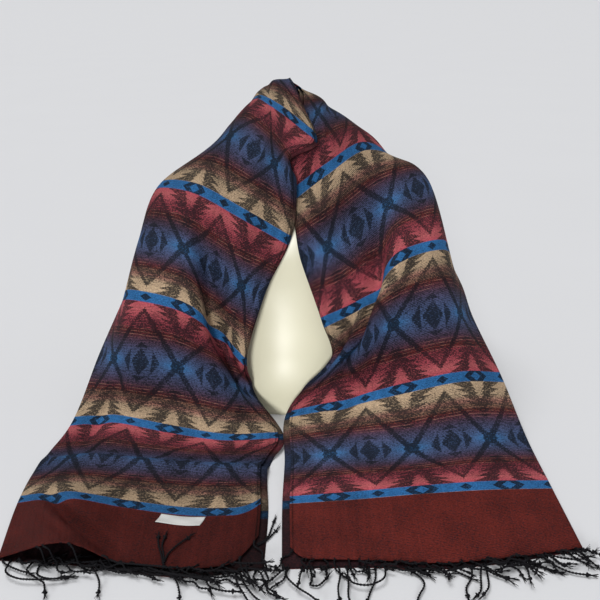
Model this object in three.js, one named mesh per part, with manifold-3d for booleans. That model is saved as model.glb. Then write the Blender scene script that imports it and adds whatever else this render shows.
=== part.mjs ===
// Woven pashmina shawl, folded in half along its length and draped over a limbless dress form.
// Millimetres, +Z up, the form's axis on Z, the table top at z = 0, the front towards -Y.

import * as THREE from 'three';
import Module from 'manifold-3d';

// ---- Driving sizes ----------------------------------------------------------

const REPEAT = 178;                       // one woven repeat along the shawl
const PLAIN_END = 102;                    // plain ground between the last band and the fringe
const REPEATS = 9;
const CLOTH_LENGTH = REPEATS * REPEAT + 2 * PLAIN_END;
const FOLDED_WIDTH = 340;                 // half of the full width

const WALL = 1.2;                         // one layer of cloth
const BETWEEN = 2.4;                      // air between the two layers
const STACK = 2 * WALL + BETWEEN;
const UNDER_EDGE_REACH = 10;              // the lower selvedge lies this far past the upper one
const UNDER_HEM_REACH = 12;               // the same at both hems
const UNDER_REACH_FADES = 160;            // along the shawl, from each hem

const SEAM = 0.3;                         // clearance between neighbouring solids
const NECK_STARTS = 700;                  // the left front ends here, along the shawl
const NECK_ENDS = 1115;                   // the right front starts here
const ROW_STEP = 34;                      // spacing of the rows of points along both fronts
const NECK_ROW_STEP = 21;                 // the same round the neck
const COLUMNS = [0, 15, 30, 45, 60, 76, 92, 108, 124, 140, 158, 178, 200, 226, 254, 282, 312, 340];
const HEM_TURN = [45, 90, 135];           // degrees round the folded edge
const NORMAL_SPAN = 15;                   // half length of the chord that gives a normal
const FOLD_TAPER = 0.12;                  // share of half a wave that is cut off at a fold's ends

const STRANDS_PER_EDGE = 30;
const STRAND_RADIUS = 1.2;
const STRAND_LENGTH = 77;
const STRAND_UNEVENNESS = 0.1;            // how much the strands differ, as a share of their length
const STRAND_SWAY = 2;                    // sideways wander of a strand's free end
const SWAY_WAVE = 38;                     // the wander changes slowly over this much of the hem
const STRAND_LIFT = 1.7;                  // centre of a strand's free end above the table
const DROOP_STARTS = 17;                  // an upper strand stays level over the lower layer's hem
const STRIP_WIDTH = 3;
const STRIP_THICKNESS = 1;
const STRIP_INSET = 6;                    // the strip stops short of the selvedge and the fold

const LABEL = { from: 75, to: 94, inner: 73, outer: 131, thickness: 0.8, columns: 6, rows: 2 };

// ---- Tables -----------------------------------------------------------------

// One row for each section across the folded shawl. `at` runs along the cloth from the left hem.
// The five points lie at ACROSS from the inner edge: the selvedges, three between, the long fold.
const ACROSS = [0, 85, 170, 255, 340];
const POINTS = ['edge', 'inner', 'middle', 'outer', 'fold'];
const SECTIONS = [
  { at: 0, edge: [-42, -492, 5], inner: [-122, -505, 5], middle: [-198, -497, 10], outer: [-258, -494, 33],
    fold: [-336, -487, 5] },
  { at: 102, edge: [-41, -404, 5], inner: [-122, -407, 5], middle: [-206, -396, 8], outer: [-284, -400, 22],
    fold: [-350, -394, 5] },
  { at: 191, edge: [-44, -312, 8], inner: [-122, -312, 9], middle: [-205, -303, 9], outer: [-281, -297, 11],
    fold: [-345, -305, 7] },
  { at: 280, edge: [-23, -250, 14], inner: [-99, -261, 18], middle: [-179, -243, 20], outer: [-266, -218, 22],
    fold: [-326, -213, 14] },
  { at: 369, edge: [-60, -178, 42], inner: [-96, -196, 68], middle: [-169, -200, 97], outer: [-247, -196, 107],
    fold: [-300, -133, 84] },
  { at: 458, edge: [-74, -185, 98], inner: [-110, -170, 131], middle: [-158, -175, 180], outer: [-238, -155, 192],
    fold: [-270, -80, 150] },
  { at: 547, edge: [-44, -157, 192], inner: [-95, -148, 212], middle: [-161, -125, 251], outer: [-233, -80, 252],
    fold: [-246, -8, 206] },
  { at: 636, edge: [-9, -130, 267], inner: [-80, -110, 303], middle: [-150, -62, 326], outer: [-216, 3, 313],
    fold: [-210, 66, 256] },
  { at: 725, edge: [0, -112, 353], inner: [-44, -90, 380], middle: [-97, -35, 399], outer: [-137, 42, 362],
    fold: [-155, 98, 298] },
  { at: 768, edge: [-6, -99, 382], inner: [-32, -76, 411], middle: [-75, -15, 428], outer: [-116, 60, 381],
    fold: [-135, 110, 308] },
  { at: 806, edge: [28, -86, 402], inner: [-22, -55, 436], middle: [-61, 8, 446], outer: [-100, 76, 388],
    fold: [-116, 120, 306] },
  { at: 853, edge: [12, -45, 442], inner: [-32, -2, 465], middle: [-60, 58, 445], outer: [-70, 102, 358],
    fold: [-76, 132, 266] },
  { at: 890, edge: [-6, 2, 475], inner: [-36, 36, 467], middle: [-38, 90, 412], outer: [-38, 118, 330],
    fold: [-36, 142, 234] },
  { at: 958, edge: [-2, 36, 467], inner: [0, 98, 434], middle: [2, 124, 356], outer: [2, 138, 274],
    fold: [2, 147, 194] },
  { at: 1015, edge: [14, 12, 455], inner: [44, 62, 436], middle: [58, 104, 368], outer: [66, 126, 290],
    fold: [70, 138, 210] },
  { at: 1076, edge: [10, -38, 424], inner: [47, 8, 434], middle: [79, 60, 408], outer: [106, 104, 346],
    fold: [118, 128, 262] },
  { at: 1130, edge: [-8, -84, 372], inner: [52, -60, 402], middle: [95, 2, 404], outer: [134, 64, 367],
    fold: [158, 114, 294] },
  { at: 1170, edge: [-4, -100, 324], inner: [48, -92, 363], middle: [104, -28, 382], outer: [156, 38, 350],
    fold: [182, 98, 288] },
  { at: 1210, edge: [2, -117, 285], inner: [57, -109, 320], middle: [120, -50, 348], outer: [189, 13, 344],
    fold: [208, 78, 280] },
  { at: 1259, edge: [10, -138, 238], inner: [68, -127, 268], middle: [139, -76, 306], outer: [207, -22, 320],
    fold: [230, 55, 268] },
  { at: 1348, edge: [41, -168, 153], inner: [98, -176, 190], middle: [149, -165, 252], outer: [223, -96, 248],
    fold: [252, -22, 194] },
  { at: 1393, edge: [56, -175, 108], inner: [94, -186, 160], middle: [143, -190, 212], outer: [222, -135, 212],
    fold: [266, -60, 164] },
  { at: 1437, edge: [33, -185, 78], inner: [88, -198, 128], middle: [138, -208, 168], outer: [226, -166, 168],
    fold: [276, -96, 132] },
  { at: 1522, edge: [-5, -205, 25], inner: [76, -213, 50], middle: [155, -216, 75], outer: [241, -198, 85],
    fold: [314, -150, 58] },
  { at: 1615, edge: [-4, -310, 16], inner: [75, -309, 26], middle: [159, -305, 29], outer: [246, -277, 26],
    fold: [330, -254, 12] },
  { at: 1704, edge: [-5, -390, 10], inner: [78, -391, 18], middle: [162, -382, 20], outer: [249, -368, 16],
    fold: [333, -354, 7] },
  { at: 1806, edge: [-3, -489, 5], inner: [80, -490, 5], middle: [165, -495, 5], outer: [252, -486, 5],
    fold: [335, -470, 5] },
];

// One row for each fold: where it starts, turns and ends as [along, across], its half width, and its
// depth, which is negative for a valley and positive for a ridge.
const FOLDS = [
  { name: 'left valley', from: [600, 146], via: [485, 102], to: [375, 32], width: 30, depth: -18 },
  { name: 'left ridge', from: [560, 170], via: [455, 155], to: [380, 105], width: 34, depth: 7 },
  { name: 'left collar line', from: [830, 140], via: [740, 108], to: [650, 100], width: 26, depth: -7 },
  { name: 'left outer valley', from: [368, 252], via: [308, 280], to: [232, 284], width: 26, depth: -8 },
  { name: 'left hem trough', from: [100, 245], via: [50, 216], to: [5, 165], width: 26, depth: -9 },
  { name: 'right long valley', from: [1250, 240], via: [1335, 128], to: [1490, 72], width: 30, depth: -20 },
  { name: 'right upper valley', from: [1235, 166], via: [1285, 142], to: [1335, 124], width: 24, depth: -7 },
  { name: 'right short valley', from: [1335, 86], via: [1400, 40], to: [1475, 8], width: 26, depth: -10 },
  { name: 'right lower trough', from: [1440, 156], via: [1492, 108], to: [1545, 66], width: 26, depth: -8 },
  { name: 'nape left', from: [900, 120], via: [915, 200], to: [925, 320], width: 30, depth: -8 },
  { name: 'nape right', from: [1040, 120], via: [1030, 200], to: [1020, 320], width: 30, depth: -8 },
];

// One row for each level of the dress form: height, half width, half depth and the centre's y.
const FORM_LEVELS = [
  { z: 0, halfWidth: 150, halfDepth: 135, y: -38 },
  { z: 40, halfWidth: 148, halfDepth: 132, y: -36 },
  { z: 90, halfWidth: 146, halfDepth: 124, y: -30 },
  { z: 140, halfWidth: 148, halfDepth: 116, y: -24 },
  { z: 190, halfWidth: 156, halfDepth: 112, y: -16 },
  { z: 240, halfWidth: 166, halfDepth: 112, y: -8 },
  { z: 280, halfWidth: 175, halfDepth: 108, y: 0 },
  { z: 305, halfWidth: 175, halfDepth: 98.5, y: 6 },
  { z: 325, halfWidth: 163, halfDepth: 84.5, y: 10 },
  { z: 345, halfWidth: 128, halfDepth: 70, y: 13 },
  { z: 362, halfWidth: 92, halfDepth: 64, y: 15 },
  { z: 380, halfWidth: 68, halfDepth: 56, y: 18 },
  { z: 400, halfWidth: 60, halfDepth: 52, y: 20 },
  { z: 416, halfWidth: 54, halfDepth: 47, y: 22 },
  { z: 427, halfWidth: 40, halfDepth: 35, y: 24 },
  { z: 432, halfWidth: 20, halfDepth: 18, y: 25 },
];
const FORM_SIDES = 36;
const FORM_SQUARENESS = 2.2;              // exponent of the level's superellipse

// ---- Materials --------------------------------------------------------------

const clothMaterial = new THREE.MeshStandardMaterial({ color: 0x5a2320, roughness: 0.85, metalness: 0 });
const fringeMaterial = new THREE.MeshStandardMaterial({ color: 0x14141c, roughness: 0.9, metalness: 0 });
const labelMaterial = new THREE.MeshStandardMaterial({ color: 0xdcdcd8, roughness: 0.6, metalness: 0 });
const formMaterial = new THREE.MeshStandardMaterial({ color: 0xe6e4cd, roughness: 0.2, metalness: 0 });

// ---- The cloth's surface ----------------------------------------------------

// A smooth curve through values at uneven stops, going on straight past both ends.
function smoothCurve(stops, values) {
  const last = stops.length - 1;
  const slope = (a, b) => values[b].clone().sub(values[a]).divideScalar(stops[b] - stops[a]);
  const tangents = stops.map((_, i) => slope(Math.max(i - 1, 0), Math.min(i + 1, last)));
  return (t) => {
    if (t <= stops[0]) return values[0].clone().addScaledVector(tangents[0], t - stops[0]);
    if (t >= stops[last]) return values[last].clone().addScaledVector(tangents[last], t - stops[last]);
    const i = stops.findIndex((stop) => stop > t) - 1;
    const span = stops[i + 1] - stops[i];
    const f = (t - stops[i]) / span;
    const g = 1 - f;
    return values[i].clone().multiplyScalar(g * g * (1 + 2 * f))
      .addScaledVector(tangents[i], g * g * f * span)
      .addScaledVector(values[i + 1], f * f * (3 - 2 * f))
      .addScaledVector(tangents[i + 1], -f * f * g * span);
  };
}

const stations = SECTIONS.map((row) => row.at);
const rails = POINTS.map((name) => smoothCurve(stations, SECTIONS.map((row) => new THREE.Vector3(...row[name]))));

function smoothSheet(along, across) {
  return smoothCurve(ACROSS, rails.map((rail) => rail(along)))(across);
}

function normalOf(surface, along, across) {
  const down = surface(along + NORMAL_SPAN, across).sub(surface(along - NORMAL_SPAN, across));
  const side = surface(along, across + NORMAL_SPAN).sub(surface(along, across - NORMAL_SPAN));
  return down.cross(side).normalize();
}

// Distance from a point to a fold's line, and how far along the line it is, from 0 to 1.
function placeOnFold(fold, along, across) {
  const point = new THREE.Vector2(along, across);
  const line = [fold.from, fold.via, fold.to].map((p) => new THREE.Vector2(...p));
  let best = { distance: Infinity, part: 0 };
  for (let i = 0; i < 2; i += 1) {
    const run = line[i + 1].clone().sub(line[i]);
    const raw = point.clone().sub(line[i]).dot(run) / run.lengthSq();
    const f = THREE.MathUtils.clamp(raw, 0, 1);
    const distance = line[i].clone().addScaledVector(run, f).distanceTo(point);
    if (distance < best.distance) best = { distance, part: (i + f) / 2 };
  }
  return best;
}

function foldHeight(along, across) {
  let height = 0;
  for (const fold of FOLDS) {
    const { distance, part } = placeOnFold(fold, along, across);
    const fade = Math.sin(Math.PI * (FOLD_TAPER + (1 - 2 * FOLD_TAPER) * part));
    height += fold.depth * fade * Math.exp(-((distance / fold.width) ** 2));
  }
  return height;
}

function creasedSheet(along, across) {
  const normal = normalOf(smoothSheet, along, across);
  return smoothSheet(along, across).addScaledVector(normal, foldHeight(along, across));
}

// A point `depth` below the shawl's outer face, kept above the table by what lies under it.
function clothPoint(along, across, depth) {
  const point = creasedSheet(along, across).addScaledVector(normalOf(creasedSheet, along, across), -depth);
  point.z = Math.max(point.z, STACK - depth);
  return point;
}

// How far the lower layer is shifted along the cloth, past the upper layer's hem.
function hemShift(along) {
  const fromLeft = Math.max(0, 1 - along / UNDER_REACH_FADES);
  const fromRight = Math.max(0, 1 - (CLOTH_LENGTH - along) / UNDER_REACH_FADES);
  return UNDER_HEM_REACH * (fromRight - fromLeft);
}

// ---- Walls ------------------------------------------------------------------

// One section of the folded wall, as pairs [outer face, face towards the air between the layers],
// from the upper selvedge round the long fold to the lower selvedge.
function wallSection(along) {
  const upper = COLUMNS.map((across) => [clothPoint(along, across, 0), clothPoint(along, across, WALL)]);

  const edge = clothPoint(along, FOLDED_WIDTH, STACK / 2);
  const up = clothPoint(along, FOLDED_WIDTH, 0).sub(edge).normalize();
  const out = edge.clone().sub(clothPoint(along, FOLDED_WIDTH - NORMAL_SPAN, STACK / 2)).normalize();
  const turn = HEM_TURN.map((degrees) => {
    const angle = THREE.MathUtils.degToRad(degrees);
    const spoke = up.clone().multiplyScalar(Math.cos(angle)).addScaledVector(out, Math.sin(angle));
    return [STACK / 2, BETWEEN / 2].map((radius) => edge.clone().addScaledVector(spoke, radius));
  });

  const lower = COLUMNS.slice().reverse().map((across) => {
    const share = 1 - across / FOLDED_WIDTH;
    const shifted = along + hemShift(along) * share;
    const moved = across - UNDER_EDGE_REACH * share;
    return [clothPoint(shifted, moved, STACK), clothPoint(shifted, moved, STACK - WALL)];
  });
  return [...upper, ...turn, ...lower];
}

// A closed body from rows of paired points: two faces, two long edges and two ends.
function slabFromRows(rows) {
  const positions = [];
  const index = [];
  const width = rows[0].length;
  const at = (row, column, face) => (row * width + column) * 2 + face;
  const quad = (a, b, c, d) => index.push(a, b, c, a, c, d);
  for (const row of rows) {
    for (const [outer, inner] of row) positions.push(...outer.toArray(), ...inner.toArray());
  }
  for (let r = 0; r + 1 < rows.length; r += 1) {
    for (let c = 0; c + 1 < width; c += 1) {
      quad(at(r, c, 0), at(r + 1, c, 0), at(r + 1, c + 1, 0), at(r, c + 1, 0));
      quad(at(r, c, 1), at(r, c + 1, 1), at(r + 1, c + 1, 1), at(r + 1, c, 1));
    }
    quad(at(r, 0, 0), at(r, 0, 1), at(r + 1, 0, 1), at(r + 1, 0, 0));
    quad(at(r, width - 1, 0), at(r + 1, width - 1, 0), at(r + 1, width - 1, 1), at(r, width - 1, 1));
  }
  const last = rows.length - 1;
  for (let c = 0; c + 1 < width; c += 1) {
    quad(at(0, c, 0), at(0, c + 1, 0), at(0, c + 1, 1), at(0, c, 1));
    quad(at(last, c, 0), at(last, c, 1), at(last, c + 1, 1), at(last, c + 1, 0));
  }
  const geometry = new THREE.BufferGeometry();
  geometry.setAttribute('position', new THREE.Float32BufferAttribute(positions, 3));
  geometry.setIndex(index);
  return geometry;
}

function evenSteps(from, to, step) {
  const count = Math.max(1, Math.round((to - from) / step));
  return Array.from({ length: count + 1 }, (_, i) => from + ((to - from) * i) / count);
}

function stretchOfShawl(from, to, step) {
  return slabFromRows(evenSteps(from, to, step).map(wallSection));
}

// ---- Label ------------------------------------------------------------------

function labelPatch() {
  const rows = evenSteps(LABEL.from, LABEL.to, (LABEL.to - LABEL.from) / LABEL.rows);
  const columns = evenSteps(LABEL.inner, LABEL.outer, (LABEL.outer - LABEL.inner) / LABEL.columns);
  const face = (along, across) => [
    clothPoint(along, across, -SEAM - LABEL.thickness),
    clothPoint(along, across, -SEAM),
  ];
  return slabFromRows(rows.map((along) => columns.map((across) => face(along, across))));
}

// ---- Fringe -----------------------------------------------------------------

const wasm = await Module();
wasm.setup();

function toSolid(geometry) {
  return new wasm.Manifold(new wasm.Mesh({
    numProp: 3,
    vertProperties: new Float32Array(geometry.getAttribute('position').array),
    triVerts: new Uint32Array(geometry.getIndex().array),
  }));
}

function fromSolid(solid) {
  const mesh = solid.getMesh();
  const geometry = new THREE.BufferGeometry();
  geometry.setAttribute('position', new THREE.Float32BufferAttribute(mesh.vertProperties, 3));
  geometry.setIndex([...mesh.triVerts]);
  return geometry;
}

// A triangular strand through a few centres, level from side to side.
function strandSolid(centres) {
  const positions = [];
  const index = [];
  const sides = 3;
  centres.forEach((centre, i) => {
    const ahead = centres[Math.min(i + 1, centres.length - 1)];
    const behind = centres[Math.max(i - 1, 0)];
    const run = ahead.clone().sub(behind).normalize();
    const side = new THREE.Vector3(0, 0, 1).cross(run).normalize();
    const up = run.clone().cross(side);
    for (let k = 0; k < sides; k += 1) {
      const angle = Math.PI / 2 + (2 * Math.PI * k) / sides;
      const rim = centre.clone().addScaledVector(side, STRAND_RADIUS * Math.cos(angle));
      positions.push(...rim.addScaledVector(up, STRAND_RADIUS * Math.sin(angle)).toArray());
    }
  });
  for (let i = 0; i + 1 < centres.length; i += 1) {
    for (let k = 0; k < sides; k += 1) {
      const a = i * sides + k;
      const b = i * sides + ((k + 1) % sides);
      index.push(a, b, b + sides, a, b + sides, a + sides);
    }
  }
  const end = (centres.length - 1) * sides;
  index.push(0, 2, 1, end, end + 1, end + 2);
  const geometry = new THREE.BufferGeometry();
  geometry.setAttribute('position', new THREE.Float32BufferAttribute(positions, 3));
  geometry.setIndex(index);
  return toSolid(geometry);
}

// The fringe of one layer at one end: a narrow strip along the hem, with its strands.
// `end` is -1 at the left hem and 1 at the right one, `layer` is 0 above and 1 below.
function fringeOf(end, layer) {
  const hem = end < 0 ? 0 : CLOTH_LENGTH;
  const top = layer * (STACK - WALL) + (WALL - STRIP_THICKNESS) / 2;
  const last = FOLDED_WIDTH - STRIP_INSET;

  // A point past the hem: `run` out from this layer's edge, `depth` below the shawl's outer face.
  const pastHem = (across, run, depth) => {
    const share = layer * (1 - across / FOLDED_WIDTH);
    const along = hem + end * (share * UNDER_HEM_REACH + run);
    return clothPoint(along, across - share * UNDER_EDGE_REACH, depth);
  };

  const corners = [STRIP_INSET, ...COLUMNS.filter((across) => across > STRIP_INSET && across < last), last];
  const strip = corners.map((across) => {
    const runs = end < 0 ? [SEAM, SEAM + STRIP_WIDTH] : [SEAM + STRIP_WIDTH, SEAM];
    return runs.map((run) => [pastHem(across, run, top), pastHem(across, run, top + STRIP_THICKNESS)]);
  });
  let solid = toSolid(slabFromRows(strip));

  const pitch = (last - STRIP_INSET) / STRANDS_PER_EDGE;
  const reach = layer * UNDER_EDGE_REACH;
  const held = layer ? 0 : DROOP_STARTS;
  for (let i = 0; i < STRANDS_PER_EDGE; i += 1) {
    const place = STRIP_INSET + pitch * (i + 0.25 + 0.5 * layer);
    const across = (place + reach) / (1 + reach / FOLDED_WIDTH);
    const length = STRAND_LENGTH * (1 + STRAND_UNEVENNESS * Math.sin(2.3 * i + 1.7 * layer));
    const sway = STRAND_SWAY * Math.sin(place / SWAY_WAVE + end);
    const root = pastHem(across, SEAM + STRIP_WIDTH / 2, top + STRIP_THICKNESS / 2);
    const runs = layer ? [length / 2, length] : [held, length / 2, length];
    const centres = runs.map((run) => {
      const f = run / length;
      const droop = Math.sin((Math.max(0, run - held) / (length - held)) * (Math.PI / 2));
      const centre = pastHem(across + sway * f * f, run, 0);
      centre.z = Math.max(STRAND_LIFT, THREE.MathUtils.lerp(root.z, STRAND_LIFT, droop));
      return centre;
    });
    root.z = Math.max(STRAND_LIFT - STRIP_THICKNESS / 2, root.z);
    solid = solid.add(strandSolid([root, ...centres]));
  }
  return fromSolid(solid);
}

// ---- Dress form -------------------------------------------------------------

function dressForm() {
  const positions = [];
  const index = [];
  const power = 2 / FORM_SQUARENESS;
  const round = (value) => Math.sign(value) * Math.abs(value) ** power;
  for (const level of FORM_LEVELS) {
    for (let k = 0; k < FORM_SIDES; k += 1) {
      const angle = (2 * Math.PI * k) / FORM_SIDES;
      positions.push(level.halfWidth * round(Math.cos(angle)));
      positions.push(level.y + level.halfDepth * round(Math.sin(angle)), level.z);
    }
  }
  for (let r = 0; r + 1 < FORM_LEVELS.length; r += 1) {
    for (let k = 0; k < FORM_SIDES; k += 1) {
      const a = r * FORM_SIDES + k;
      const b = r * FORM_SIDES + ((k + 1) % FORM_SIDES);
      index.push(a, b, b + FORM_SIDES, a, b + FORM_SIDES, a + FORM_SIDES);
    }
  }
  const top = (FORM_LEVELS.length - 1) * FORM_SIDES;
  for (let k = 1; k + 1 < FORM_SIDES; k += 1) {
    index.push(0, k + 1, k);
    index.push(top, top + k, top + k + 1);
  }
  const geometry = new THREE.BufferGeometry();
  geometry.setAttribute('position', new THREE.Float32BufferAttribute(positions, 3));
  geometry.setIndex(index);
  return geometry;
}

// ---- Assembly ---------------------------------------------------------------

function piece(name, geometry, material) {
  const mesh = new THREE.Mesh(geometry, material);
  mesh.name = name;
  return mesh;
}

const neckFrom = NECK_STARTS + SEAM / 2;
const neckTo = NECK_ENDS - SEAM / 2;
const leftFront = stretchOfShawl(0, NECK_STARTS - SEAM / 2, ROW_STEP);
const roundNeck = stretchOfShawl(neckFrom, neckTo, NECK_ROW_STEP);
const rightFront = stretchOfShawl(NECK_ENDS + SEAM / 2, CLOTH_LENGTH, ROW_STEP);

const shawl = new THREE.Group();
shawl.add(piece('shawl_left_front', leftFront, clothMaterial));
shawl.add(piece('shawl_round_neck', roundNeck, clothMaterial));
shawl.add(piece('shawl_right_front', rightFront, clothMaterial));
shawl.add(piece('label', labelPatch(), labelMaterial));
shawl.add(piece('fringe_left_upper', fringeOf(-1, 0), fringeMaterial));
shawl.add(piece('fringe_left_under', fringeOf(-1, 1), fringeMaterial));
shawl.add(piece('fringe_right_upper', fringeOf(1, 0), fringeMaterial));
shawl.add(piece('fringe_right_under', fringeOf(1, 1), fringeMaterial));

const drapedShawl = new THREE.Group();
drapedShawl.add(shawl);
drapedShawl.add(piece('dress_form', dressForm(), formMaterial));

export default drapedShawl;
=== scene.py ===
"""A folded pashmina shawl on a limbless dress form: the visible model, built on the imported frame."""

import math

import bpy
import numpy as np
from bpy.props import FloatProperty, FloatVectorProperty, IntProperty, PointerProperty
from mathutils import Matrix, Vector


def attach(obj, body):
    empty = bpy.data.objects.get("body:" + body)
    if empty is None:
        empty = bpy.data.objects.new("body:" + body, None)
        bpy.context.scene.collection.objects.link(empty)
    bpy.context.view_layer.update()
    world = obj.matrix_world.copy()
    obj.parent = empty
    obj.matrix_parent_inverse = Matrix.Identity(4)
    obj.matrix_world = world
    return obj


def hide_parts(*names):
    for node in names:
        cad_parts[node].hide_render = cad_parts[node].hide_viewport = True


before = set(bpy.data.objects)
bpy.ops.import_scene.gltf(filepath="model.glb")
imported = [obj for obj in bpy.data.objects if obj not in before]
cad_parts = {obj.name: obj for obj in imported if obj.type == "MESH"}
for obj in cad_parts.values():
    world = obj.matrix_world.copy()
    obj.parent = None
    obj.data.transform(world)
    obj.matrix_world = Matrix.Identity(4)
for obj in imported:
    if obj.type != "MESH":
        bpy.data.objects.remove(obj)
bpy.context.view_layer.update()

bl_info = {
    "name": "Pashmina Shawl on a Dress Form",
    "version": (1, 0, 0),
    "blender": (4, 5, 0),
    "location": "View3D > Sidebar > Shawl",
    "description": "Builds a folded, draped pashmina shawl with its fringe, label and dress form",
    "category": "Add Mesh",
}

MM = 0.001
LEFT_END, RIGHT_END = -1, 1

# ---- The cut cloth and its pattern, in millimetres ----

REPEAT = 178.0                  # one repeat along the cloth
REPEATS = 9
PLAIN_END = 102.0               # from a hem to the middle of its nearest blue band
CLOTH_LENGTH = REPEATS * REPEAT + 2 * PLAIN_END
FOLDED_WIDTH = 340.0
MOTIF = FOLDED_WIDTH / 3        # one motif across the cloth
BLUE_BAND = 15.0
DIAMOND_HEIGHT = 0.395 * REPEAT  # from an eye to the tip of the lattice's diamond round it
TREE_HEIGHT = 49
LIGHT_TREE_HEIGHT = 24
EYE_SIDE_FROM = 17.5            # the eye's side triangles start this far from its middle,
EYE_CAP_FROM = 20               # and its caps this far
FLOAT_SIZE = (1.8, 1.2)         # across and along
RIB_SPACING = 2.1
TWILL_SPACING = 1.6
PAINTED_SHADE_HEM = 92                   # painted shade: the cloth is darkest from its left hem to here,
PAINTED_SHADE_TO = 480               # the painted shade grows lighter to here,
PAINTED_SHADE_NECK = (860, 330)          # and is painted darker again round the neck: the middle and half the length

# ---- How the folded cloth lies ----

STACK = 4.8                     # both layers and the air between them
LOWER_SPACING = 1.4             # the lower layer's points lie this much further apart
FOLD_TURNS = 6                  # steps of the hairpin at the long fold
NORMAL_CHORD = 9.0              # half the distance over which the surface's direction is taken
UNDER_EDGE_REACH = 10.0         # the lower selvedge lies this far past the upper one
SLIPPED_BACK = (                # but less near these places
    # along, half length, less
    (570, 120, 9.5),
    (905, 85, 9.0),
    (1290, 120, 9.5),
)
UNDER_HEM_REACH = 12.0          # the lower hems lie this far past the upper ones
UNDER_REACH_FADES = 160.0       # over this length of the cloth
LEFT_CORNER = (36.0, 52.0)      # how wide and how high the upper layer's inner corners are rounded
RIGHT_CORNER = (22.0, 20.0)
LIES_FLAT = 0.85                # share of the left hem's rise that its lower layer doesn't follow
FLAT_FADES = 80.0

# One row for each section across the folded shawl: `at` is its distance along the cloth from the left
# hem, and its five points lie at ACROSS, from the selvedges to the long fold.
ACROSS = (0, 85, 170, 255, 340)
SECTIONS = (
    # at, selvedges, inner, middle, outer, long fold
    (0, (-42, -492, 5), (-122, -505, 5), (-198, -497, 10), (-258, -494, 33), (-336, -487, 5)),
    (102, (-41, -404, 5), (-122, -407, 5), (-206, -396, 8), (-284, -394, 22), (-348, -382, 5)),
    (191, (-44, -312, 8), (-122, -312, 9), (-205, -303, 9), (-281, -297, 11), (-345, -305, 7)),
    (280, (-23, -250, 14), (-99, -261, 18), (-179, -243, 20), (-266, -218, 22), (-326, -213, 14)),
    (369, (-60, -178, 42), (-96, -196, 68), (-169, -200, 97), (-247, -196, 107), (-300, -133, 84)),
    (458, (-74, -185, 98), (-110, -170, 131), (-158, -175, 180), (-238, -155, 192), (-270, -80, 150)),
    (547, (-44, -157, 192), (-95, -148, 212), (-161, -125, 251), (-233, -80, 252), (-246, -8, 206)),
    (636, (-9, -130, 267), (-80, -110, 303), (-150, -62, 326), (-216, 3, 313), (-210, 66, 256)),
    (725, (0, -112, 353), (-44, -90, 380), (-97, -35, 399), (-137, 42, 362), (-155, 98, 298)),
    (768, (-6, -99, 382), (-32, -76, 411), (-75, -15, 428), (-116, 60, 381), (-135, 110, 308)),
    (806, (28, -86, 402), (-22, -55, 436), (-61, 8, 446), (-100, 76, 388), (-116, 120, 306)),
    (853, (12, -45, 442), (-32, -2, 465), (-60, 58, 445), (-70, 102, 358), (-76, 132, 266)),
    (890, (-6, 2, 475), (-36, 36, 467), (-38, 90, 412), (-38, 118, 330), (-36, 142, 234)),
    (958, (-2, 36, 467), (0, 98, 434), (2, 124, 356), (2, 138, 274), (2, 147, 194)),
    (1015, (14, 12, 455), (44, 62, 436), (58, 104, 368), (66, 126, 290), (70, 138, 210)),
    (1076, (10, -38, 424), (47, 8, 434), (79, 60, 408), (106, 104, 346), (118, 128, 262)),
    (1130, (-8, -84, 372), (52, -60, 402), (95, 2, 404), (134, 64, 367), (158, 114, 294)),
    (1170, (-4, -100, 324), (48, -92, 363), (104, -28, 382), (156, 38, 350), (182, 98, 288)),
    (1210, (2, -117, 285), (57, -109, 320), (120, -50, 348), (189, 13, 344), (208, 78, 280)),
    (1259, (10, -138, 238), (68, -127, 268), (139, -76, 306), (207, -22, 320), (230, 55, 268)),
    (1348, (41, -168, 153), (98, -176, 190), (149, -165, 252), (223, -96, 248), (252, -22, 194)),
    (1393, (56, -175, 108), (94, -186, 160), (143, -190, 212), (222, -135, 212), (266, -60, 164)),
    (1437, (33, -185, 78), (88, -198, 128), (138, -208, 168), (226, -166, 168), (276, -96, 132)),
    (1522, (-5, -205, 25), (76, -213, 50), (155, -216, 75), (241, -198, 85), (314, -150, 58)),
    (1615, (-4, -310, 16), (75, -309, 26), (159, -305, 29), (246, -277, 26), (330, -254, 12)),
    (1704, (-5, -390, 10), (78, -391, 18), (162, -382, 20), (249, -368, 16), (333, -354, 7)),
    (1806, (-3, -489, 5), (80, -490, 5), (165, -495, 5), (252, -486, 5), (335, -470, 5)),
)

# Folds and creases: where each starts, turns and ends as (along, across), its half width and depth.
CREASES = (
    # start, turn, end, half width, depth
    ((600, 146), (485, 102), (375, 32), 21, -23),
    ((560, 170), (455, 155), (380, 105), 30, 8),
    ((830, 140), (740, 108), (650, 100), 22, -8),
    ((368, 252), (308, 280), (232, 284), 20, -9),
    ((104, 284), (56, 238), (16, 178), 14, -16),
    ((68, 300), (40, 272), (12, 250), 6, -2.5),
    ((84, 192), (64, 144), (50, 110), 4, -1.6),
    ((46, 84), (40, 60), (34, 36), 4, -1.4),
    ((184, -60), (184, 130), (190, 330), 13, 8),
    ((205, -60), (205, 130), (212, 330), 13, -9),
    ((1278, 152), (1340, 106), (1480, 52), 17, -27),
    ((1285, 205), (1350, 160), (1440, 110), 24, 5),
    ((1335, 84), (1396, 26), (1460, 6), 12, -13),
    ((1440, 156), (1492, 108), (1545, 66), 16, -10),
    ((670, 6), (735, 4), (800, 8), 12, 5),
    ((900, 120), (915, 200), (925, 320), 30, -8),
    ((1040, 120), (1030, 200), (1020, 320), 30, -8),
)

# ---- How the fringe lies ----

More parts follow.
